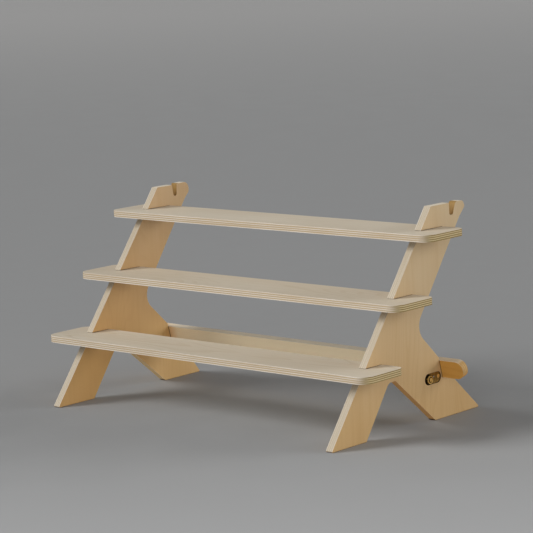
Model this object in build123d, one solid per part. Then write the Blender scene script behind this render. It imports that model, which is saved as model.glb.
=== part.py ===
from build123d import *
import math
import os

# Three-tier display rack of birch plywood, in millimetres.
# +X runs along the shelves, +Y to the back, +Z up. The origin is on the
# standing surface, under the centre of the rack's bounding box.

# Sheet material
PANEL_THICKNESS = 9.0
SHELF_THICKNESS = 8.0
PLANK_THICKNESS = 9.0

# Side panels: two slanting uprights, each with a splayed rear leg
PANEL_OUTER_X = 218.5
PANEL_HEIGHT = 246.0
FRONT_FOOT_Y = -135.0
FRONT_TOP_Y = 52.8
FRONT_LEG_REAR_Y = -74.5
CROTCH_FRONT = (-32.2, 59.0)
CROTCH_REAR = (-20.0, 59.0)
REAR_LEG_FRONT_Y = 51.5
REAR_KNEE = (19.2, 110.4)
STRETCHER_NOTCH_TOP = (60.0, 71.9)
LEDGE_LENGTH = {"left": 12.0, "right": 13.0}
REAR_FOOT_Y = {"left": 116.0, "right": 135.9}
CORNER_RADIUS = 1.5
CROTCH_RADIUS = 10.0
KNEE_RADIUS = 20.0

# Shelves: three alike, stepped up and back
SHELF_LENGTH = 500.0
SHELF_DEPTH = 69.0
SHELF_NAMES = ("bottom_shelf", "middle_shelf", "top_shelf")
SHELF_TOP_Z = 81.7
SHELF_FRONT_Y = -111.4
TIER_RISE = 69.45
TIER_SETBACK = 58.75
SHELF_FRONT_RADIUS = 15.0
SHELF_REAR_RADIUS = 10.0

# Half-lap between shelf and panel: half the lap is a slot in the shelf, open
# at its rear edge, and the other half is a notch in the panel's front edge
SLOT_DEPTH = 20.0
SLOT_SIDE_GAP = 0.45
SLOT_MOUTH_RADIUS = 3.0
LAP_END_GAP = 0.2
NOTCH_GAP_BELOW = 0.05
NOTCH_GAP_ABOVE = 0.35

# Stretcher: a plank on edge in an L-shaped notch behind the rear legs
STRETCHER_LENGTH = 500.0
STRETCHER_HEIGHT = 21.0
STRETCHER_END_RADIUS = 10.0
STRETCHER_TILT = 14.0
STRETCHER_SEAT = (66.05, 47.6)
SEAT_GAP = 0.05

# Clamp fitting, in a round-ended pocket in each panel's outer face. Depths are
# measured inwards from that face.
POCKET_CENTRE = (48.4, 49.6)
POCKET_LENGTH = 29.8
POCKET_HEIGHT = 13.0
POCKET_DEPTH = 7.7
POCKET_FIT = 0.15
LINER_THICKNESS = 0.6
COLLAR_TOP = 5.0
COLLAR_RADIUS = 2.6
COVER_DEPTHS = (0.9, 1.7)
COVER_END_Y = 43.0
COVER_LOWER_END_Y = 46.4
WELL_RADIUS = 5.5
PLATE_SCREW = (50.3, 51.0)
PLATE_SCREW_TOP = 0.35
PLATE_SCREW_RADIUS = 1.05
PLATE_SCREW_SHANK = 0.6
PLATE_HOLE_GAP = 0.05
BOLT_HEIGHT_ON_STRETCHER = 4.6
BOLT_AXIS_DEPTH = 3.3
BOLT_RADIUS = 1.25
BOLT_IN_STRETCHER = 7.0
BOLT_FROM_STRETCHER = 18.9
BOLT_BORE_GAP = 0.06
WALL_BORE_RADIUS = 1.6
BARREL_RADIUS = 2.4
BARREL_DISTANCE = 6.4
BARREL_TOP = 0.4
KNOB_CENTRE = (44.3, 48.4)
KNOB_RADIUS = 4.8
KNOB_RIM_TOP = 0.1
KNOB_RIM_WIDTH = 1.3
KNOB_GROOVE_DEPTH = 1.1
KNOB_UNDERSIDE = 1.5
KNOB_BOSS_RADIUS = 2.4
KNOB_BOSS_TOP = -0.5
KNOB_FLUTES = 16
KNOB_FLUTE_RADIUS = 0.3
STEM_RADIUS = 1.5
STEM_END = 7.0
WASHER_RADIUS = 3.6
WASHER_THICKNESS = 0.4

SIDES = {"left": -1.0, "right": 1.0}
TILT = math.radians(STRETCHER_TILT)
# Unit directions in the (y, z) plane: out of the notch, and up the plank
OUTWARD = (math.cos(TILT), math.sin(TILT))
PLANK_UP = (-math.sin(TILT), math.cos(TILT))


def along(start, direction, distance):
    """Point at a distance from start, both in the (y, z) plane."""
    return (start[0] + direction[0] * distance, start[1] + direction[1] * distance)


def rounded_outline(corners):
    """Closed face through (y, z, radius) corners, each rounded by its radius."""
    outline = make_face(Polyline([(y, z) for y, z, _ in corners], close=True))
    for radius in sorted({radius for _, _, radius in corners if radius > 0}):
        spots = [Vector(y, z, 0) for y, z, own in corners if own == radius]
        picked = [outline.vertices().sort_by_distance(spot)[0] for spot in spots]
        outline = fillet(picked, radius)
    return outline


def slab_across_x(outline, x_low, x_high):
    """Solid from an outline drawn in (y, z), between two x values."""
    return Pos(x_low, 0, 0) * extrude(Plane.YZ * outline, amount=x_high - x_low)


def shelf_place(tier):
    """Front y and underside z of a tier's shelf."""
    front = SHELF_FRONT_Y + TIER_SETBACK * tier
    underside = SHELF_TOP_Z + TIER_RISE * tier - SHELF_THICKNESS
    return front, underside


def finger_notch(side):
    """Corners round the notch in the panel's top edge and the finger behind it."""
    if side == "right":
        return [
            (87.2, PANEL_HEIGHT, 1.0),
            (87.8, 231.9, 2.2),
            (93.9, 231.9, 2.2),
            (99.4, 246.3, 4.5),
            (113.2, 245.8, 5.0),
            (117.2, 239.2, 3.5),
            (105.8, 227.8, 8.0),
        ]
    return [
        (79.6, PANEL_HEIGHT, 1.0),
        (81.6, 232.0, 2.2),
        (86.9, 232.0, 2.2),
        (87.8, 246.9, 1.2),
        (109.5, 247.5, 8.5),
        (109.5, 234.6, 4.0),
        (101.0, 225.8, 8.0),
    ]


def panel_outline(side):
    """Outline of a side panel, without its shelf notches."""
    seat = along(STRETCHER_SEAT, OUTWARD, -SEAT_GAP)
    seat = along(seat, PLANK_UP, -SEAT_GAP)
    ledge_end = along(seat, OUTWARD, LEDGE_LENGTH[side])
    corners = [(FRONT_FOOT_Y, 0, CORNER_RADIUS), (FRONT_TOP_Y, PANEL_HEIGHT, CORNER_RADIUS)]
    corners += finger_notch(side)
    corners += [
        (*REAR_KNEE, KNEE_RADIUS),
        (*STRETCHER_NOTCH_TOP, 0),
        (*seat, 0),
        (*ledge_end, 1.0),
        (REAR_FOOT_Y[side], 0, CORNER_RADIUS),
        (REAR_LEG_FRONT_Y, 0, CORNER_RADIUS),
        (*CROTCH_REAR, 2.0),
        (*CROTCH_FRONT, CROTCH_RADIUS),
        (FRONT_LEG_REAR_Y, 0, CORNER_RADIUS),
    ]
    return rounded_outline(corners)


def shelf_notches():
    """Three notches, one per tier, that cut a panel's front edge."""
    cut_front = FRONT_FOOT_Y - 20
    height = SHELF_THICKNESS + NOTCH_GAP_BELOW + NOTCH_GAP_ABOVE
    notches = []
    for tier in range(len(SHELF_NAMES)):
        front, underside = shelf_place(tier)
        end = front + SHELF_DEPTH - SLOT_DEPTH + LAP_END_GAP
        centre = ((cut_front + end) / 2, underside - NOTCH_GAP_BELOW + height / 2)
        notches.append(Pos(*centre) * Rectangle(end - cut_front, height))
    return notches


def pocket_outline(fit):
    """Round-ended pocket outline, made smaller all round by the fit."""
    length = POCKET_LENGTH - 2 * fit
    height = POCKET_HEIGHT - 2 * fit
    return Pos(*POCKET_CENTRE) * SlotOverall(length, height)


def bolt_point(distance):
    """Point on the bolt's axis, that far in front of the stretcher's face."""
    foot = along(STRETCHER_SEAT, PLANK_UP, BOLT_HEIGHT_ON_STRETCHER)
    return along(foot, OUTWARD, -distance)


def bolt_axis_x(side):
    """x of the bolt's axis."""
    return SIDES[side] * (PANEL_OUTER_X - BOLT_AXIS_DEPTH)


def rod_on_axis(side, near, far, radius):
    """Cylinder on the bolt's axis, between two distances from the stretcher."""
    y, z = bolt_point(far)
    start = Plane(
        origin=(bolt_axis_x(side), y, z),
        x_dir=(1, 0, 0),
        z_dir=(0, OUTWARD[0], OUTWARD[1]),
    )
    return extrude(start * Circle(radius), amount=far - near)


def across_panel(side, outline, outer, inner):
    """Solid between two depths below a panel's outer face."""
    outer_x = PANEL_OUTER_X - outer
    inner_x = PANEL_OUTER_X - inner
    if SIDES[side] > 0:
        return slab_across_x(outline, inner_x, outer_x)
    return slab_across_x(outline, -outer_x, -inner_x)


def round_across(side, centre, radius, outer, inner):
    """Round bar square to the panel, between two depths."""
    return across_panel(side, Pos(*centre) * Circle(radius), outer, inner)


def side_panel(side):
    """Plywood upright with its notches, its pocket and the bolt's bore."""
    outline = panel_outline(side)
    for notch in shelf_notches():
        outline -= notch
    panel = across_panel(side, outline, 0, PANEL_THICKNESS)
    panel -= across_panel(side, pocket_outline(0), 0, POCKET_DEPTH)
    panel -= rod_on_axis(side, -1.0, BARREL_DISTANCE, WALL_BORE_RADIUS)
    return panel


def shelf(tier):
    """Plain shelf with round corners and a slot behind for each panel."""
    front, underside = shelf_place(tier)
    rear = front + SHELF_DEPTH
    board = Pos(0, front + SHELF_DEPTH / 2) * Rectangle(SHELF_LENGTH, SHELF_DEPTH)
    corners = board.vertices().group_by(Axis.Y)
    board = fillet(corners[0], SHELF_FRONT_RADIUS)
    corners = board.vertices().group_by(Axis.Y)
    board = fillet(corners[-1], SHELF_REAR_RADIUS)
    slot_width = PANEL_THICKNESS + 2 * SLOT_SIDE_GAP
    for sign in SIDES.values():
        middle = sign * (PANEL_OUTER_X - PANEL_THICKNESS / 2)
        slot = Pos(middle, rear - SLOT_DEPTH / 2) * Rectangle(slot_width, SLOT_DEPTH)
        board -= slot
    mouths = [
        vertex
        for vertex in board.vertices()
        if abs(vertex.Y - rear) < 0.01 and abs(abs(vertex.X) - PANEL_OUTER_X) < PANEL_THICKNESS + 1
    ]
    board = fillet(mouths, SLOT_MOUTH_RADIUS)
    return Pos(0, 0, underside) * extrude(board, amount=SHELF_THICKNESS)


def rear_stretcher():
    """Plank with round ends, tilted back, with a hole for each bolt."""
    face = Rectangle(STRETCHER_LENGTH, STRETCHER_HEIGHT)
    face = fillet(face.vertices(), STRETCHER_END_RADIUS)
    y, z = along(STRETCHER_SEAT, PLANK_UP, STRETCHER_HEIGHT / 2)
    front = Plane(origin=(0, y, z), x_dir=(1, 0, 0), z_dir=(0, OUTWARD[0], OUTWARD[1]))
    plank = extrude(front * face, amount=PLANK_THICKNESS)
    for side in SIDES:
        plank -= rod_on_axis(side, -BOLT_IN_STRETCHER, 0, BOLT_RADIUS)
    return plank


def pocket_liner(side):
    """Thin plate on the pocket's floor, with a tapped collar for the thumb screw."""
    floor = POCKET_DEPTH - LINER_THICKNESS
    liner = across_panel(side, pocket_outline(POCKET_FIT), floor, POCKET_DEPTH)
    liner += round_across(side, KNOB_CENTRE, COLLAR_RADIUS, COLLAR_TOP, POCKET_DEPTH)
    bore = STEM_RADIUS + BOLT_BORE_GAP
    return liner - round_across(side, KNOB_CENTRE, bore, COLLAR_TOP, POCKET_DEPTH)


def cover_plate(side):
    """Shallow plate over the rear of the pocket, hollowed round the thumb screw."""
    outline = pocket_outline(POCKET_FIT)
    outline -= Pos(*KNOB_CENTRE) * Circle(WELL_RADIUS)
    above = POCKET_CENTRE[1] + POCKET_HEIGHT
    for end_y, top_z in ((COVER_END_Y, above), (COVER_LOWER_END_Y, KNOB_CENTRE[1])):
        outline -= Pos(end_y / 2, top_z / 2) * Rectangle(end_y, top_z)
    outline -= Pos(*bolt_point(BARREL_DISTANCE)) * Circle(BARREL_RADIUS + PLATE_HOLE_GAP)
    outline -= Pos(*PLATE_SCREW) * Circle(PLATE_SCREW_SHANK + PLATE_HOLE_GAP)
    return across_panel(side, outline, *COVER_DEPTHS)


def plate_screw(side):
    """Small round-headed screw that holds the cover plate."""
    top = COVER_DEPTHS[0]
    end = POCKET_DEPTH - LINER_THICKNESS
    head = round_across(side, PLATE_SCREW, PLATE_SCREW_RADIUS, PLATE_SCREW_TOP, top)
    return head + round_across(side, PLATE_SCREW, PLATE_SCREW_SHANK, top, end)


def hanger_bolt(side):
    """Stud driven into the stretcher, standing out through the panel's wall."""
    return rod_on_axis(side, -BOLT_IN_STRETCHER, BOLT_FROM_STRETCHER, BOLT_RADIUS)


def barrel_guide(side):
    """Round guide across the pocket's rear end, bored for the bolt."""
    centre = bolt_point(BARREL_DISTANCE)
    barrel = round_across(side, centre, BARREL_RADIUS, BARREL_TOP, POCKET_DEPTH - LINER_THICKNESS)
    return barrel - rod_on_axis(side, 0, 2 * BARREL_DISTANCE, BOLT_RADIUS + BOLT_BORE_GAP)


def washer(side):
    """Flat washer between the thumb screw's head and the bolt."""
    end = KNOB_UNDERSIDE + WASHER_THICKNESS
    ring = round_across(side, KNOB_CENTRE, WASHER_RADIUS, KNOB_UNDERSIDE, end)
    return ring - round_across(side, KNOB_CENTRE, STEM_RADIUS + BOLT_BORE_GAP, KNOB_UNDERSIDE, end)


def thumb_screw(side):
    """Clamp screw with a stepped, fluted head that faces outwards."""
    head = Circle(KNOB_RADIUS)
    for spot in PolarLocations(KNOB_RADIUS, KNOB_FLUTES):
        head -= spot * Circle(KNOB_FLUTE_RADIUS)
    screw = across_panel(side, Pos(*KNOB_CENTRE) * head, KNOB_RIM_TOP, KNOB_UNDERSIDE)
    groove_radius = KNOB_RADIUS - KNOB_RIM_WIDTH
    screw -= round_across(side, KNOB_CENTRE, groove_radius, KNOB_RIM_TOP, KNOB_GROOVE_DEPTH)
    screw += round_across(side, KNOB_CENTRE, KNOB_BOSS_RADIUS, KNOB_BOSS_TOP, KNOB_UNDERSIDE)
    return screw + round_across(side, KNOB_CENTRE, STEM_RADIUS, KNOB_UNDERSIDE, STEM_END)


def save(shape, node):
    """Write one node's solid."""
    export_step(shape, f"parts/{node}.step")


def main():
    os.makedirs("parts", exist_ok=True)
    for tier, name in enumerate(SHELF_NAMES):
        save(shelf(tier), name)
    save(rear_stretcher(), "rear_stretcher")
    for side in SIDES:
        save(side_panel(side), f"{side}_side_panel")
        save(pocket_liner(side), f"{side}_pocket_liner")
        save(barrel_guide(side), f"{side}_barrel_guide")
        save(hanger_bolt(side), f"{side}_hanger_bolt")
        save(cover_plate(side), f"{side}_cover_plate")
        save(plate_screw(side), f"{side}_plate_screw")
        save(washer(side), f"{side}_washer")
        save(thumb_screw(side), f"{side}_thumb_screw")


main()
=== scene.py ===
import math

import bmesh
import bpy
from mathutils import Matrix, Vector


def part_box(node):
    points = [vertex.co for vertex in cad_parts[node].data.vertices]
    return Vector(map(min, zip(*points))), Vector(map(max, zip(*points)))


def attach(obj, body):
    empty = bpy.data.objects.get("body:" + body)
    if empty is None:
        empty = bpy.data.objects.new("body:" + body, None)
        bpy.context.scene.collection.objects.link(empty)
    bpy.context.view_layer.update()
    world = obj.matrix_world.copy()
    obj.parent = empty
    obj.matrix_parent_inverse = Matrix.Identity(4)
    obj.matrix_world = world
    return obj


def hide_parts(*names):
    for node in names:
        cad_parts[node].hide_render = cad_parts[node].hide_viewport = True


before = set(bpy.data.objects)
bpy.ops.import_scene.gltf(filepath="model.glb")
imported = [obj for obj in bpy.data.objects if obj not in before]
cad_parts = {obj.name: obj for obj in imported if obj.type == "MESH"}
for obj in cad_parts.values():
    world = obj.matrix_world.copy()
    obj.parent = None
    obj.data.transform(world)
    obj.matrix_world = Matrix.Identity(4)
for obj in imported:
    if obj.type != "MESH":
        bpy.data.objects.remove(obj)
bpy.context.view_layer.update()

SCENE = bpy.context.scene
MM = 0.001

# ---------------------------------------------------------------- sizes
PANEL_PLY = 9.0 * MM
SHELF_PLY = 8.0 * MM
PLY_COUNT = 7
STRETCHER_TILT = math.radians(14.0)
EDGE_ROUND = 1.1 * MM
FITTING_ROUND = 0.12 * MM
THREAD_PITCH = 0.45 * MM


def linear(red, green, blue):
    """Scene-linear colour from display values of 0 to 255."""
    out = []
    for value in (red, green, blue):
        part = value / 255.0
        out.append(part / 12.92 if part <= 0.04045 else ((part + 0.055) / 1.055) ** 2.4)
    return (*out, 1.0)


# ---------------------------------------------------------------- shader graph
AO_SAMPLES = 8


class Graph:
    """Adds shader nodes to one new material and wires them."""

    def __init__(self, name):
        self.material = bpy.data.materials.new(name)
        self.material.use_nodes = True
        self.tree = self.material.node_tree
        self.tree.nodes.clear()

    def put(self, value, socket):
        if isinstance(value, bpy.types.NodeSocket):
            self.tree.links.new(value, socket)
        else:
            socket.default_value = value

    def node(self, kind, inputs=None, **settings):
        made = self.tree.nodes.new(kind)
        for key, value in settings.items():
            setattr(made, key, value)
        for key, value in (inputs or {}).items():
            self.put(value, made.inputs[key])
        return made

    def math(self, operation, first, second=0.0, third=0.0):
        made = self.node("ShaderNodeMath", operation=operation)
        for index, value in enumerate((first, second, third)):
            if index < len(made.inputs):
                self.put(value, made.inputs[index])
        return made.outputs[0]

    def vector_math(self, operation, first, second=(0.0, 0.0, 0.0)):
        made = self.node("ShaderNodeVectorMath", operation=operation)
        self.put(first, made.inputs[0])
        self.put(second, made.inputs[1])
        return made.outputs["Value"] if operation == "DOT_PRODUCT" else made.outputs[0]

    def span(self, value, low, high, to_low=0.0, to_high=1.0, smooth=True):
        made = self.node(
            "ShaderNodeMapRange",
            {"Value": value, "From Min": low, "From Max": high, "To Min": to_low, "To Max": to_high},
            interpolation_type="SMOOTHSTEP" if smooth else "LINEAR",
        )
        return made.outputs[0]

    def mix(self, factor, first, second, blend="MIX"):
        made = self.node("ShaderNodeMix", data_type="RGBA", blend_type=blend)
        self.put(factor, made.inputs[0])
        self.put(first, made.inputs[6])
        self.put(second, made.inputs[7])
        return made.outputs[2]

    def blend(self, factor, first, second):
        made = self.node("ShaderNodeMix", data_type="FLOAT")
        self.put(factor, made.inputs[0])
        self.put(first, made.inputs[2])
        self.put(second, made.inputs[3])
        return made.outputs[0]

    def noise(self, place, stretch, detail=3.0, rough=0.5, warp=0.0):
        """Noise from 0 to 1 with so many features per metre on each axis."""
        scaled = self.vector_math("MULTIPLY", place, stretch)
        made = self.node(
            "ShaderNodeTexNoise",
            {"Vector": scaled, "Scale": 1.0, "Detail": detail, "Roughness": rough, "Distortion": warp},
        )
        return made.outputs[0]

    def join(self, x, y, z):
        return self.node("ShaderNodeCombineXYZ", {"X": x, "Y": y, "Z": z}).outputs[0]

    def split(self, vector):
        made = self.node("ShaderNodeSeparateXYZ", {"Vector": vector})
        return made.outputs[0], made.outputs[1], made.outputs[2]

    def bump(self, height, distance, strength):
        made = self.node("ShaderNodeBump", {"Height": height, "Distance": distance, "Strength": strength})
        return made.outputs[0]

    def openness(self, reach):
        """1 in the open, falling to 0 where other surfaces stand within reach."""
        made = self.node("ShaderNodeAmbientOcclusion", {"Distance": reach}, samples=AO_SAMPLES)
        return made.outputs["AO"]

    def shader(self, **inputs):
        """Principled shader to the material's output."""
        named = {key.replace("_", " "): value for key, value in inputs.items()}
        made = self.node("ShaderNodeBsdfPrincipled", named)
        end = self.node("ShaderNodeOutputMaterial")
        self.tree.links.new(made.outputs[0], end.inputs[0])
        return self.material


# ---------------------------------------------------------------- birch plywood
# Veneer features per metre: along the grain, across it, and a fixed third axis
CLOUD_RATE = (3.0, 9.0, 1.0)
STREAK_RATE = (3.0, 170.0, 1.0)
FIBRE_RATE = (16.0, 1300.0, 1.0)
HAIR_RATE = (90.0, 4200.0, 1.0)
FLECK_RATE = (420.0, 3000.0, 1.0)
BEND_RATE = (2.2, 13.0, 1.0)
FIGURE_PATCH_RATE = (4.0, 16.0, 1.0)
# Cut edge features per metre: along the grain, across it, through the plies
DRIFT_RATE = (9.0, 9.0, 1.0)
EDGE_LINE_RATE = (9.0, 9.0, 620.0)
PORE_RATE = (1500.0, 1500.0, 1500.0)
FACE_OFFSET = 3.7
PLY_WANDER = 0.30 * MM
WOOD_RELIEF = 0.06 * MM
# Heights above a notch's bottom over which its painted shade lightens
NOTCH_SHADE_LOW = 3 * MM
NOTCH_SHADE_HIGH = 12 * MM
SANDED_RIM_HIGHLIGHT_TONE = linear(246, 236, 216)
UNDERSIDE_WARM_SHADE = linear(240, 176, 98)
WELL_SHADE = linear(92, 62, 30)
NOTCH_DEEP_SHADE = linear(136, 98, 28)
NOTCH_UPPER_SHADE = linear(156, 120, 56)
# Painted shade in joints: its colour and how near other surfaces must stand
CREASE_SHADE = linear(88, 60, 30)
CREASE_SHADE_REACH = 2.0 * MM
# How far round a metal fitting's well the board's pale sanded rim and its painted highlight are left out, and
# painted shade covers the well's walls
WELL_MARGIN = 1.6 * MM


def board_frame(graph, axes, turn):
    """Position and normal as (along grain, across grain, through thickness), and upward lean."""
    source = graph.node("ShaderNodeTexCoord")
    place, normal = source.outputs["Object"], source.outputs["Normal"]
    lift = graph.split(normal)[2]
    if turn:
        rotated = []
        for vector in (place, normal):
            inputs = {"Vector": vector, "Angle": turn}
            rotated.append(graph.node("ShaderNodeVectorRotate", inputs, rotation_type="X_AXIS").outputs[0])
        place, normal = rotated
    picks = ["XYZ".index(letter) for letter in axes]
    placed = graph.split(place)
    faced = graph.split(normal)
    facing = [graph.math("ABSOLUTE", faced[index]) for index in picks]
    return [placed[index] for index in picks], facing, lift


def birch(name, axes, thickness, middle, face, edge, seed, turn=0.0, figure=0.5, contrast=1.0, fade=None,
          notch=None, end_tint=None, well=None, front_only=False, underside_shade=UNDERSIDE_WARM_SHADE, heel=None):
    """Birch plywood: veneer figure on the faces, stacked plies on the edges.

    fade is a second set of tones and edge tones, painted as a differently lit copy of the wood, and where
    along the grain it starts and is full.
    notch is a cut's front, rear and bottom, where painted shade darkens the walls towards the bottom. well is
    the box of a metal fitting's hole, whose walls get painted shade.
    heel is paler tones painted as light, where across the board they start and are full, and how high they
    reach.
    """
    graph = Graph(name)
    (grain, across, depth), (end_on, side_on, face_on), lift = board_frame(graph, axes, turn)
    depth = graph.math("SUBTRACT", depth, middle)

    # The two faces get different veneers: each side's pattern is moved away.
    side = graph.math("SIGN", depth)
    shift = graph.math("MULTIPLY_ADD", side, FACE_OFFSET, seed)
    veneer = graph.join(graph.math("ADD", grain, shift), graph.math("ADD", across, shift), shift)

    # Broad tone, long streaks, fine fibre and short dark flecks
    cloud = graph.noise(veneer, CLOUD_RATE, 2.0, 0.5)
    streak = graph.noise(veneer, STREAK_RATE, 3.0, 0.55)
    fibre = graph.noise(veneer, FIBRE_RATE, 3.0, 0.6)
    hair = graph.noise(veneer, HAIR_RATE, 2.0, 0.6)
    fleck = graph.span(graph.noise(veneer, FLECK_RATE, 1.0, 0.4), 0.70, 0.78)

    # Growth figure: thin contour lines of a slow, stretched field
    bend = graph.noise(veneer, BEND_RATE, 1.5, 0.45)
    field = graph.math("MULTIPLY_ADD", bend, 30.0, graph.math("MULTIPLY", across, 70.0))
    wave = graph.math("FRACT", field)
    late = graph.math("MULTIPLY", graph.span(wave, 0.45, 0.92), graph.span(wave, 0.98, 0.93))
    figured = graph.noise(veneer, FIGURE_PATCH_RATE, 2.0, 0.5)
    late = graph.math("MULTIPLY", late, graph.span(figured, 0.40, 0.62))

    # Painted light and shade: along the grain the tones turn to a second, differently lit copy
    if fade:
        other, other_edge, centre, start, end = fade
        reach = graph.math("ABSOLUTE", graph.math("SUBTRACT", grain, centre))
        reach = graph.span(reach, start, end, smooth=False)
        on_veneer = graph.math("MULTIPLY", reach, graph.span(side, 0.5, -0.5)) if front_only else reach
        face = [graph.mix(on_veneer, *pair) for pair in zip(face, other)]
        edge = [graph.mix(reach, *pair) for pair in zip(edge, other_edge)]
    # Painted light: a paler patch of veneer on the rear leg
    if heel:
        other, start, end, top = heel
        lit_patch_mask = graph.math("MULTIPLY", graph.span(across, start, end), graph.span(grain, top, top / 2))
        face = [graph.mix(lit_patch_mask, *pair) for pair in zip(face, other)]
    pale, mid, warm, dark = face
    tone = graph.mix(graph.span(cloud, 0.3, 0.7), pale, mid)
    tone = graph.mix(graph.math("MULTIPLY", graph.span(streak, 0.42, 0.78), 0.20), tone, warm)
    tone = graph.mix(graph.math("MULTIPLY", late, figure), tone, warm)
    tone = graph.mix(graph.math("MULTIPLY", graph.span(fibre, 0.5, 0.8), 0.18), tone, warm)
    tone = graph.mix(graph.math("MULTIPLY", graph.span(hair, 0.55, 0.8), 0.10), tone, dark)
    tone = graph.mix(graph.math("MULTIPLY", fleck, 0.22), tone, dark)

    # Plies on the cut edges: pale where the fibres lie along the cut, dark where they end
    drift = graph.noise(graph.join(grain, across, seed), DRIFT_RATE, 2.0, 0.5)
    wander = graph.math("MULTIPLY_ADD", drift, PLY_WANDER, -PLY_WANDER / 2)
    pitch = thickness / PLY_COUNT
    level = graph.math("ADD", graph.math("ADD", depth, wander), thickness / 2)
    count = graph.math("DIVIDE", level, pitch)
    layer = graph.math("FLOOR", count)
    cross = graph.math("MODULO", layer, 2.0)
    to_glue = graph.math("PINGPONG", count, 0.5)
    outer = graph.math("GREATER_THAN", graph.math("ABSOLUTE", depth), thickness / 2 - 0.35 * pitch)
    glue = graph.math("MULTIPLY", graph.span(to_glue, 0.14, 0.04), graph.math("SUBTRACT", 1.0, outer))
    lines = graph.noise(graph.join(grain, across, depth), EDGE_LINE_RATE, 3.0, 0.7)
    pore = graph.noise(graph.join(grain, across, depth), PORE_RATE, 2.0, 0.6)
    ends = graph.blend(cross, graph.span(end_on, 0.45, 0.98), graph.span(side_on, 0.45, 0.98))
    long_tone, side_dark, end_dark, glue_tone = edge
    cut = graph.mix(graph.span(end_on, 0.3, 0.9), side_dark, end_dark)
    sawn = graph.mix(graph.math("MULTIPLY", ends, contrast), long_tone, cut)
    sawn = graph.mix(graph.math("MULTIPLY", graph.span(lines, 0.40, 0.66), 0.55), sawn, side_dark)
    sawn = graph.mix(graph.math("MULTIPLY", graph.span(pore, 0.5, 0.75), 0.25), sawn, side_dark)
    sawn = graph.mix(graph.math("MULTIPLY", glue, 0.60 * contrast), sawn, glue_tone)
    if end_tint:
        sawn = graph.mix(graph.span(end_on, 0.3, 0.95), sawn, end_tint, "MULTIPLY")
    # Painted highlight: edges that face upwards turn paler
    sawn = graph.mix(graph.math("MULTIPLY", graph.span(lift, 0.75, 0.97), 0.55), sawn, SANDED_RIM_HIGHLIGHT_TONE)
    # Painted warm shade on edges that face downwards
    sawn = graph.mix(graph.math("MULTIPLY", graph.span(lift, -0.15, -0.6), 0.8), sawn, underside_shade)

    within = 0.0
    if notch:
        front, rear, bottom = notch
        behind_front = graph.span(across, front - MM, front)
        within = graph.math("MULTIPLY", behind_front, graph.span(across, rear, rear - 2 * MM))
        within = graph.math("MULTIPLY", within, graph.span(grain, bottom - MM, bottom))
        # Painted shade in the notch: its walls darker towards the bottom
        height = graph.span(grain, bottom + NOTCH_SHADE_LOW, bottom + NOTCH_SHADE_HIGH)
        notch_shade = graph.mix(height, NOTCH_DEEP_SHADE, NOTCH_UPPER_SHADE)
        sawn = graph.mix(graph.math("MULTIPLY", within, 0.92), sawn, notch_shade)

    # Sanded rim between face and edge, paler than either, and made paler still as a painted highlight
    on_face = graph.span(face_on, 0.93, 0.995)
    rim = graph.math("MULTIPLY", graph.span(face_on, 0.12, 0.35), graph.math("SUBTRACT", 1.0, on_face))
    colour = graph.mix(on_face, sawn, tone)
    rim = graph.math("MULTIPLY", rim, graph.math("SUBTRACT", 1.0, within))
    if well:
        (_, front, low), (_, rear, high) = well
        near = graph.math("MULTIPLY", graph.span(across, front - WELL_MARGIN, front),
                          graph.span(across, rear + WELL_MARGIN, rear))
        near = graph.math("MULTIPLY", near, graph.span(grain, low - WELL_MARGIN, low))
        near = graph.math("MULTIPLY", near, graph.span(grain, high + WELL_MARGIN, high))
        rim = graph.math("MULTIPLY", rim, graph.math("SUBTRACT", 1.0, near))
        # Painted shade on the walls of the well round the metal fitting
        off_face = graph.math("SUBTRACT", 1.0, on_face)
        colour = graph.mix(graph.math("MULTIPLY", near, off_face), colour, WELL_SHADE)
    colour = graph.mix(graph.math("MULTIPLY", rim, 0.85), colour, SANDED_RIM_HIGHLIGHT_TONE)

    # Painted shade in the joints between boards, where other surfaces stand close
    crease = graph.openness(CREASE_SHADE_REACH)
    shade = graph.math("MULTIPLY", graph.span(crease, 0.84, 0.48), 0.92)
    if notch:
        shade = graph.math("MULTIPLY", shade, graph.math("SUBTRACT", 1.0, within))
    colour = graph.mix(shade, colour, CREASE_SHADE)

    fine = graph.math("MULTIPLY_ADD", fibre, 0.7, graph.math("MULTIPLY", hair, 0.5))
    face_height = graph.math("SUBTRACT", fine, graph.math("MULTIPLY", fleck, 0.5))
    edge_height = graph.math("SUBTRACT", graph.math("MULTIPLY", pore, 1.2), graph.math("MULTIPLY", glue, 0.9))
    height = graph.blend(on_face, edge_height, face_height)
    normal = graph.bump(height, WOOD_RELIEF, 0.45)
    rough_face = graph.span(streak, 0.3, 0.7, 0.52, 0.62)
    rough_edge = graph.span(pore, 0.3, 0.7, 0.62, 0.78)
    rough = graph.blend(on_face, rough_edge, rough_face)
    return graph.shader(Base_Color=colour, Roughness=rough, Normal=normal, Specular_IOR_Level=0.30)


# ---------------------------------------------------------------- metal
# Features per metre on each axis
RING_RATE = (300.0, 9000.0, 300.0)
PATCH_RATE = (420.0, 420.0, 420.0)
SPOT_RATE = (2600.0, 2600.0, 2600.0)
SCRATCH_RATE = (700.0, 700.0, 9000.0)
METAL_RELIEF = 0.03 * MM
# How near a facing surface must stand to lay painted shade in a metal's groove, and the shade's colour
GROOVE_SHADE_REACH = 2.0 * MM
GROOVE_SHADE = linear(52, 34, 16)


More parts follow.
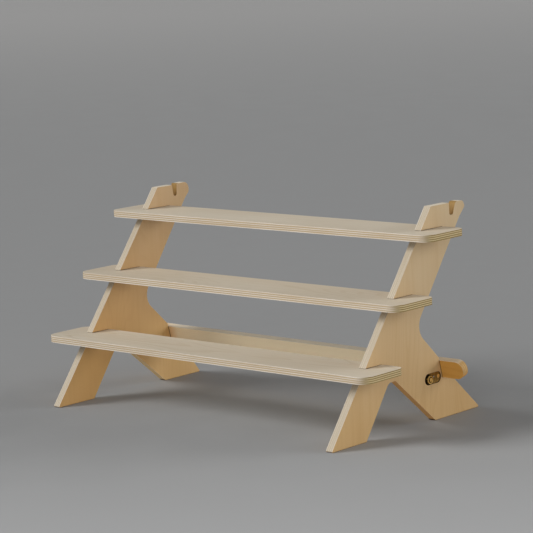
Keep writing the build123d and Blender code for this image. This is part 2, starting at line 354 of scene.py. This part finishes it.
def metal(name, bright, dull, tarnish, rough, seed, sheen):
    """Turned or plated metal: lathe rings, tarnish in patches, fine scratches, painted shade in grooves."""
    graph = Graph(name)
    source = graph.node("ShaderNodeTexCoord")
    place = graph.vector_math("ADD", source.outputs["Object"], (seed, seed, seed))
    rings = graph.noise(place, RING_RATE, 2.0, 0.6)
    patch = graph.noise(place, PATCH_RATE, 4.0, 0.6, 0.4)
    spot = graph.noise(place, SPOT_RATE, 3.0, 0.6)
    scratch = graph.noise(place, SCRATCH_RATE, 2.0, 0.7)
    tone = graph.mix(graph.span(patch, 0.35, 0.65), bright, dull)
    tone = graph.mix(graph.math("MULTIPLY", graph.span(spot, 0.52, 0.75), 0.6), tone, tarnish)
    worn = graph.node("ShaderNodeNewGeometry").outputs["Pointiness"]
    tone = graph.mix(graph.math("MULTIPLY", graph.span(worn, 0.52, 0.62), 0.5), tone, bright)
    # Painted shade in grooves and near facing surfaces
    open_air = graph.openness(GROOVE_SHADE_REACH)
    tone = graph.mix(graph.math("MULTIPLY", graph.span(open_air, 0.88, 0.50), 0.92), tone, GROOVE_SHADE)
    shine = graph.math("MULTIPLY_ADD", graph.span(patch, 0.3, 0.7), 0.16, rough)
    shine = graph.math("MULTIPLY_ADD", graph.span(spot, 0.4, 0.8), 0.12, shine)
    height = graph.math("ADD", rings, graph.math("MULTIPLY", scratch, 0.5))
    normal = graph.bump(height, METAL_RELIEF, 0.5)
    return graph.shader(Base_Color=tone, Metallic=sheen, Roughness=shine, Normal=normal)


# ---------------------------------------------------------------- pieces
def adopt(piece, node, body):
    """Links a piece, stands it in for its node and puts it on its body."""
    SCENE.collection.objects.link(piece)
    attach(piece, body)
    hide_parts(node)
    return piece


# Each shelf, with how strongly its growth figure shows
SHELF_FIGURE = {"bottom_shelf": 0.7, "middle_shelf": 0.4, "top_shelf": 0.35}
LAP_REACH = 0.7 * MM
WELD_DISTANCE = 0.002 * MM
FLAT_ANGLE = math.radians(0.4)
BEVEL_ANGLE = math.radians(35)
SHADE_ANGLE = math.radians(38)
EVEN_NORMAL_WEIGHT = 90
LAP_X = [corner.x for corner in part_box("right_side_panel")]
LAP_LEVELS = [[corner.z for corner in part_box(node)] for node in SHELF_FIGURE]


def in_lap(point):
    """True where a shelf and a panel meet: those cut edges stay crisp."""
    if not LAP_X[0] - LAP_REACH < abs(point.x) < LAP_X[1] + LAP_REACH:
        return False
    return any(low - LAP_REACH < point.z < high + LAP_REACH for low, high in LAP_LEVELS)


def softened(node, name, width, steps):
    """Copy of a node's mesh with clean flat faces and rounded edges."""
    shape = bmesh.new()
    shape.from_mesh(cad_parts[node].data)
    bmesh.ops.remove_doubles(shape, verts=shape.verts, dist=WELD_DISTANCE)
    bmesh.ops.dissolve_limit(shape, angle_limit=FLAT_ANGLE, verts=shape.verts, edges=shape.edges)
    sharp = [
        edge
        for edge in shape.edges
        if len(edge.link_faces) == 2
        and edge.is_convex
        and edge.calc_face_angle(0.0) > BEVEL_ANGLE
        and not all(in_lap(vert.co) for vert in edge.verts)
    ]
    bmesh.ops.bevel(shape, geom=sharp, offset=width, segments=steps, profile=0.5,
                    affect="EDGES", clamp_overlap=True)
    bmesh.ops.recalc_face_normals(shape, faces=shape.faces)
    for face in shape.faces:
        face.smooth = True
    mesh = bpy.data.meshes.new(name)
    shape.to_mesh(mesh)
    shape.free()
    mesh.set_sharp_from_angle(angle=SHADE_ANGLE)
    piece = bpy.data.objects.new(name, mesh)
    even = piece.modifiers.new("even_normals", "WEIGHTED_NORMAL")
    even.keep_sharp = True
    even.weight = EVEN_NORMAL_WEIGHT
    return piece


def board(node, body, material):
    """One plywood board."""
    piece = softened(node, f"{node}_board", EDGE_ROUND, 3)
    piece.data.materials.append(material)
    return adopt(piece, node, body)


def fitting(node, body, material):
    """One small metal piece."""
    piece = softened(node, f"{node}_piece", FITTING_ROUND, 2)
    piece.data.materials.append(material)
    return adopt(piece, node, body)


STUD_CORNERS = 20
ROWS_PER_PITCH = 6
THREAD_DEPTH = 0.24 * MM
CREST_FLATTENING = 1.6
TIP_TAPER = 0.35 * MM
TIP_LENGTH = 0.5 * MM
STUD_FIT = 0.992
PLAIN_SHARE = 0.06


def threaded_stud(node, body, material):
    """Hanger bolt with a rolled thread on its outer length."""
    low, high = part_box(node)
    radius = (high.x - low.x) / 2
    lean = 2 * radius * math.sin(STRETCHER_TILT)
    length = (high.y - low.y - lean) / math.cos(STRETCHER_TILT)
    centre = (low + high) / 2
    around = STUD_CORNERS
    step = THREAD_PITCH / ROWS_PER_PITCH
    plain = PLAIN_SHARE * length
    rows = int(length / step)
    shape = bmesh.new()
    rings = []
    for row in range(rows + 1):
        height = length * row / rows
        ring = []
        for corner in range(around):
            angle = 2 * math.pi * corner / around
            phase = (height / THREAD_PITCH - corner / around) % 1.0
            crest = 1 - abs(2 * phase - 1)
            cut = THREAD_DEPTH * (1 - min(1.0, crest * CREST_FLATTENING))
            ease = min(1.0, (length - height) / plain, height / plain)
            taper = TIP_TAPER * max(0.0, 1 - (length - height) / TIP_LENGTH)
            reach = radius * STUD_FIT - cut * max(0.0, ease) - taper
            spot = (reach * math.cos(angle), reach * math.sin(angle), height - length / 2)
            ring.append(shape.verts.new(spot))
        rings.append(ring)
    for lower, upper in zip(rings, rings[1:]):
        for corner in range(around):
            after = (corner + 1) % around
            shape.faces.new((lower[corner], lower[after], upper[after], upper[corner]))
    shape.faces.new(list(reversed(rings[0])))
    shape.faces.new(rings[-1])
    for face in shape.faces:
        face.smooth = True
    turn = Matrix.Rotation(math.radians(90) + STRETCHER_TILT - math.pi, 4, "X")
    shape.transform(Matrix.Translation(centre) @ turn)
    bmesh.ops.recalc_face_normals(shape, faces=shape.faces)
    mesh = bpy.data.meshes.new(f"{node}_stud")
    shape.to_mesh(mesh)
    shape.free()
    mesh.set_sharp_from_angle(angle=math.radians(60))
    piece = bpy.data.objects.new(f"{node}_stud", mesh)
    piece.data.materials.append(material)
    return adopt(piece, node, body)


# ---------------------------------------------------------------- looks
SHELF_FACE = (linear(217, 206, 187), linear(211, 198, 177), linear(199, 182, 154), linear(167, 144, 110))
# Panel tones: lit and shaded copies of one birch; painted light on the upper right panel, painted shade low
# down and over the left panel
PANEL_TOP_LIT = (linear(216, 192, 155), linear(211, 184, 143), linear(199, 168, 123), linear(166, 131, 87))
PANEL_LOW_SHADED = (linear(216, 180, 126), linear(211, 172, 116), linear(199, 156, 100), linear(165, 123, 71))
LEFT_TOP_SHADED = (linear(207, 176, 136), linear(202, 169, 126), linear(190, 153, 106), linear(157, 116, 72))
LEFT_LOW_SHADED = (linear(209, 167, 109), linear(203, 159, 98), linear(190, 143, 84), linear(156, 111, 56))
LEFT_REAR_LEG_LIT = (linear(228, 189, 131), linear(221, 180, 118), linear(207, 162, 101), linear(170, 125, 67))
# Stretcher tones: a pale copy painted as light for the middle, brown copies painted as shade for the ends of
# the front
RAIL_MIDDLE_LIT = (linear(255, 238, 205), linear(251, 230, 192), linear(236, 207, 162), linear(195, 159, 109))
RAIL_END_SHADED = (linear(218, 163, 82), linear(212, 154, 70), linear(197, 136, 56), linear(163, 105, 39))
SHELF_EDGE = (linear(223, 215, 202), linear(186, 164, 132), linear(146, 128, 84), linear(118, 96, 58))
PANEL_EDGE = (linear(212, 205, 192), linear(184, 170, 146), linear(178, 156, 120), linear(150, 126, 92))
SHELF_END = linear(255, 244, 206)
# Edge tones for the stretcher's ends, painted as shade
RAIL_EDGE_SHADED = (linear(226, 188, 126), linear(196, 152, 92), linear(176, 130, 70), linear(150, 106, 52))


def middle_of(node, axis):
    """Middle of a node's box on one axis."""
    low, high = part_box(node)
    return (low[axis] + high[axis]) / 2


for seed, (name, figure) in enumerate(SHELF_FIGURE.items()):
    look = birch(f"birch_{name}", "XYZ", SHELF_PLY, middle_of(name, 2), SHELF_FACE, SHELF_EDGE,
                 1.3 + 2.9 * seed, figure=figure, end_tint=SHELF_END)
    board(name, name, look)

# Heights between which each panel's veneer turns from its low tone to its top tone: painted shade low down,
# painted light higher up
PANEL_LIGHT_HEIGHTS = {"left": (0.05, 0.225), "right": (0.02, 0.17)}
# Painted light on the left rear leg, as paler veneer: its tones, the y where it starts and is full, and its
# height
REAR_LEG_PAINTED_LIGHT = {"left": (LEFT_REAR_LEG_LIT, 0.0, 0.04, 0.10), "right": None}
# Painted warm shade on each panel's downward-facing edges
LEG_UNDERSIDE_SHADE = {"left": linear(250, 212, 150), "right": linear(244, 180, 98)}
# Front, rear and bottom of each panel's top notch
TOP_NOTCHES = {"left": (0.079, 0.092, 0.2312), "right": (0.0865, 0.104, 0.2312)}
# Each panel's low tones carry painted shade and its top tones painted light
for side, top, low, seed in (("left", LEFT_TOP_SHADED, LEFT_LOW_SHADED, 11.3), ("right", PANEL_TOP_LIT, PANEL_LOW_SHADED, 17.9)):
    node = f"{side}_side_panel"
    look = birch(f"birch_{side}_panel", "ZYX", PANEL_PLY, middle_of(node, 0), low, PANEL_EDGE,
                 seed, figure=0.28, contrast=0.95, fade=(top, PANEL_EDGE, 0.0, *PANEL_LIGHT_HEIGHTS[side]),
                 notch=TOP_NOTCHES[side],
                 well=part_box(f"{side}_pocket_liner"), underside_shade=LEG_UNDERSIDE_SHADE[side], heel=REAR_LEG_PAINTED_LIGHT[side])
    board(node, "frame", look)

# Distances from the middle between which the stretcher's front turns to its painted shade, brown
RAIL_SHADE_SPAN = (0.195, 0.216)
stretcher_y = middle_of("rear_stretcher", 1)
stretcher_z = middle_of("rear_stretcher", 2)
stretcher_depth = stretcher_y * math.cos(STRETCHER_TILT) + stretcher_z * math.sin(STRETCHER_TILT)
look = birch("birch_stretcher", "XZY", PANEL_PLY, stretcher_depth, RAIL_MIDDLE_LIT, PANEL_EDGE, 23.1,
             turn=-STRETCHER_TILT, figure=0.2, contrast=0.6,
             fade=(RAIL_END_SHADED, RAIL_EDGE_SHADED, 0.0, *RAIL_SHADE_SPAN), front_only=True)
board("rear_stretcher", "stretcher", look)

BRASS = metal("turned_brass", linear(255, 212, 126), linear(238, 178, 84), linear(124, 82, 32),
              rough=0.28, seed=3.0, sheen=0.45)
COVER = metal("rolled_brass", linear(178, 140, 70), linear(150, 112, 50), linear(92, 64, 24),
              rough=0.40, seed=5.0, sheen=0.7)
# Brass for the pocket liner, darkened as painted shade in the well
SHADED_LINER = metal("liner_brass_painted_shade", linear(110, 76, 34), linear(84, 56, 24), linear(50, 32, 14),
              rough=0.50, seed=9.0, sheen=0.75)
STEEL = metal("zinc_steel", linear(222, 220, 214), linear(186, 184, 178), linear(120, 116, 108),
              rough=0.26, seed=7.0, sheen=0.85)

for side in ("left", "right"):
    fitting(f"{side}_pocket_liner", "frame", SHADED_LINER)
    fitting(f"{side}_cover_plate", "frame", COVER)
    fitting(f"{side}_barrel_guide", "frame", BRASS)
    fitting(f"{side}_plate_screw", "frame", STEEL)
    threaded_stud(f"{side}_hanger_bolt", "stretcher", STEEL)
    fitting(f"{side}_washer", f"{side}_washer", STEEL)
    fitting(f"{side}_thumb_screw", f"{side}_thumb_screw", BRASS)


# ---------------------------------------------------------------- stage
SWEEP_DIRECTION = (-0.665, 0.747, 0.0)


def floor_material():
    """Matt pale paper sweep: faint mottle, with painted light making it paler in front and far behind."""
    graph = Graph("studio_floor")
    place = graph.node("ShaderNodeTexCoord").outputs["Object"]
    mottle = graph.noise(place, (9.0, 9.0, 9.0), 4.0, 0.6)
    grit = graph.noise(place, (900.0, 900.0, 900.0), 2.0, 0.6)
    tone = graph.mix(graph.span(mottle, 0.3, 0.7), linear(152, 153, 154), linear(156, 157, 158))
    tone = graph.mix(graph.math("MULTIPLY", graph.span(grit, 0.4, 0.7), 0.35), tone, linear(146, 147, 148))
    # Distance in metres behind the rack's middle, along the sweep
    inwards = graph.vector_math("DOT_PRODUCT", place, SWEEP_DIRECTION)
    # Painted light and shade along the sweep: paler in front and far behind, a darker band between
    tone = graph.mix(graph.span(inwards, 0.1, -0.75), tone, linear(179, 180, 181))
    painted_shade_band = graph.math("MULTIPLY", graph.span(inwards, 0.1, 0.5), graph.span(inwards, 5.0, 0.8))
    tone = graph.mix(painted_shade_band, tone, linear(154, 155, 156))
    tone = graph.mix(graph.span(inwards, 2.0, 12.0), tone, linear(172, 172, 172))
    normal = graph.bump(grit, 0.1 * MM, 0.3)
    rough = graph.span(mottle, 0.3, 0.7, 0.80, 0.88)
    return graph.shader(Base_Color=tone, Roughness=rough, Normal=normal, Specular_IOR_Level=0.25)


FLOOR_HALF = 40.0
floor_mesh = bpy.data.meshes.new("studio_floor")
signs = ((-1, -1), (1, -1), (1, 1), (-1, 1))
corners = [(x * FLOOR_HALF, y * FLOOR_HALF, 0) for x, y in signs]
floor_mesh.from_pydata(corners, [], [(0, 1, 2, 3)])
floor = bpy.data.objects.new("studio_floor", floor_mesh)
floor_mesh.materials.append(floor_material())
SCENE.collection.objects.link(floor)


def broad_sun(name, source, spread, strength, tint):
    """Far soft light that comes from a direction, spread over an angle in degrees."""
    data = bpy.data.lights.new(name, "SUN")
    data.angle = math.radians(spread)
    data.energy = strength
    data.color = tint
    lamp = bpy.data.objects.new(name, data)
    lamp.rotation_euler = (-Vector(source)).to_track_quat("-Z", "Y").to_euler()
    SCENE.collection.objects.link(lamp)


def front_panel(place, target, size, power):
    """Large square lamp near the rack's front, aimed at a point."""
    data = bpy.data.lights.new("front", "AREA")
    data.shape = "SQUARE"
    data.size = size
    data.energy = power
    lamp = bpy.data.objects.new("front", data)
    lamp.location = place
    lamp.rotation_euler = (Vector(target) - Vector(place)).to_track_quat("-Z", "Y").to_euler()
    SCENE.collection.objects.link(lamp)


broad_sun("key", source=(-0.60, -0.56, 0.48), spread=24.0, strength=2.20, tint=(1.0, 0.99, 0.975))
broad_sun("fill", source=(0.80, -0.58, 0.16), spread=46.0, strength=0.45, tint=(1.0, 0.99, 0.98))
broad_sun("rear", source=(0.66, 0.70, 0.26), spread=38.0, strength=1.12, tint=(1.0, 0.99, 0.98))
front_panel(place=(1.3, -2.7, 1.0), target=(0.1, -0.2, 0.05), size=1.6, power=18.0)

WORLD_STRENGTH = 0.225
world = bpy.data.worlds.new("studio")
world.use_nodes = True
world.node_tree.nodes["Background"].inputs[0].default_value = (1.0, 1.0, 1.0, 1.0)
world.node_tree.nodes["Background"].inputs[1].default_value = WORLD_STRENGTH
SCENE.world = world
SCENE.view_settings.view_transform = "Standard"

# ---------------------------------------------------------------- camera
CAMERA_PLACE = Vector((1.739882, -1.934676, 0.576706))
CAMERA_YAW = 0.7281
CAMERA_PITCH = -0.1556
CAMERA_ROLL = -0.04
CAMERA_LENS = 151.19
CAMERA_SENSOR = 36.0

forward = Vector((
    -math.sin(CAMERA_YAW) * math.cos(CAMERA_PITCH),
    math.cos(CAMERA_YAW) * math.cos(CAMERA_PITCH),
    math.sin(CAMERA_PITCH),
))
level_right = Vector((math.cos(CAMERA_YAW), math.sin(CAMERA_YAW), 0.0))
level_up = level_right.cross(forward)
right = math.cos(CAMERA_ROLL) * level_right + math.sin(CAMERA_ROLL) * level_up
up = math.cos(CAMERA_ROLL) * level_up - math.sin(CAMERA_ROLL) * level_right
camera_data = bpy.data.cameras.new("camera")
camera_data.sensor_width = CAMERA_SENSOR
camera_data.lens = CAMERA_LENS
camera = bpy.data.objects.new("camera", camera_data)
camera.matrix_world = Matrix.Translation(CAMERA_PLACE) @ Matrix((right, up, -forward)).transposed().to_4x4()
SCENE.collection.objects.link(camera)
SCENE.camera = camera

# ---------------------------------------------------------------- finish
bpy.context.view_layer.update()
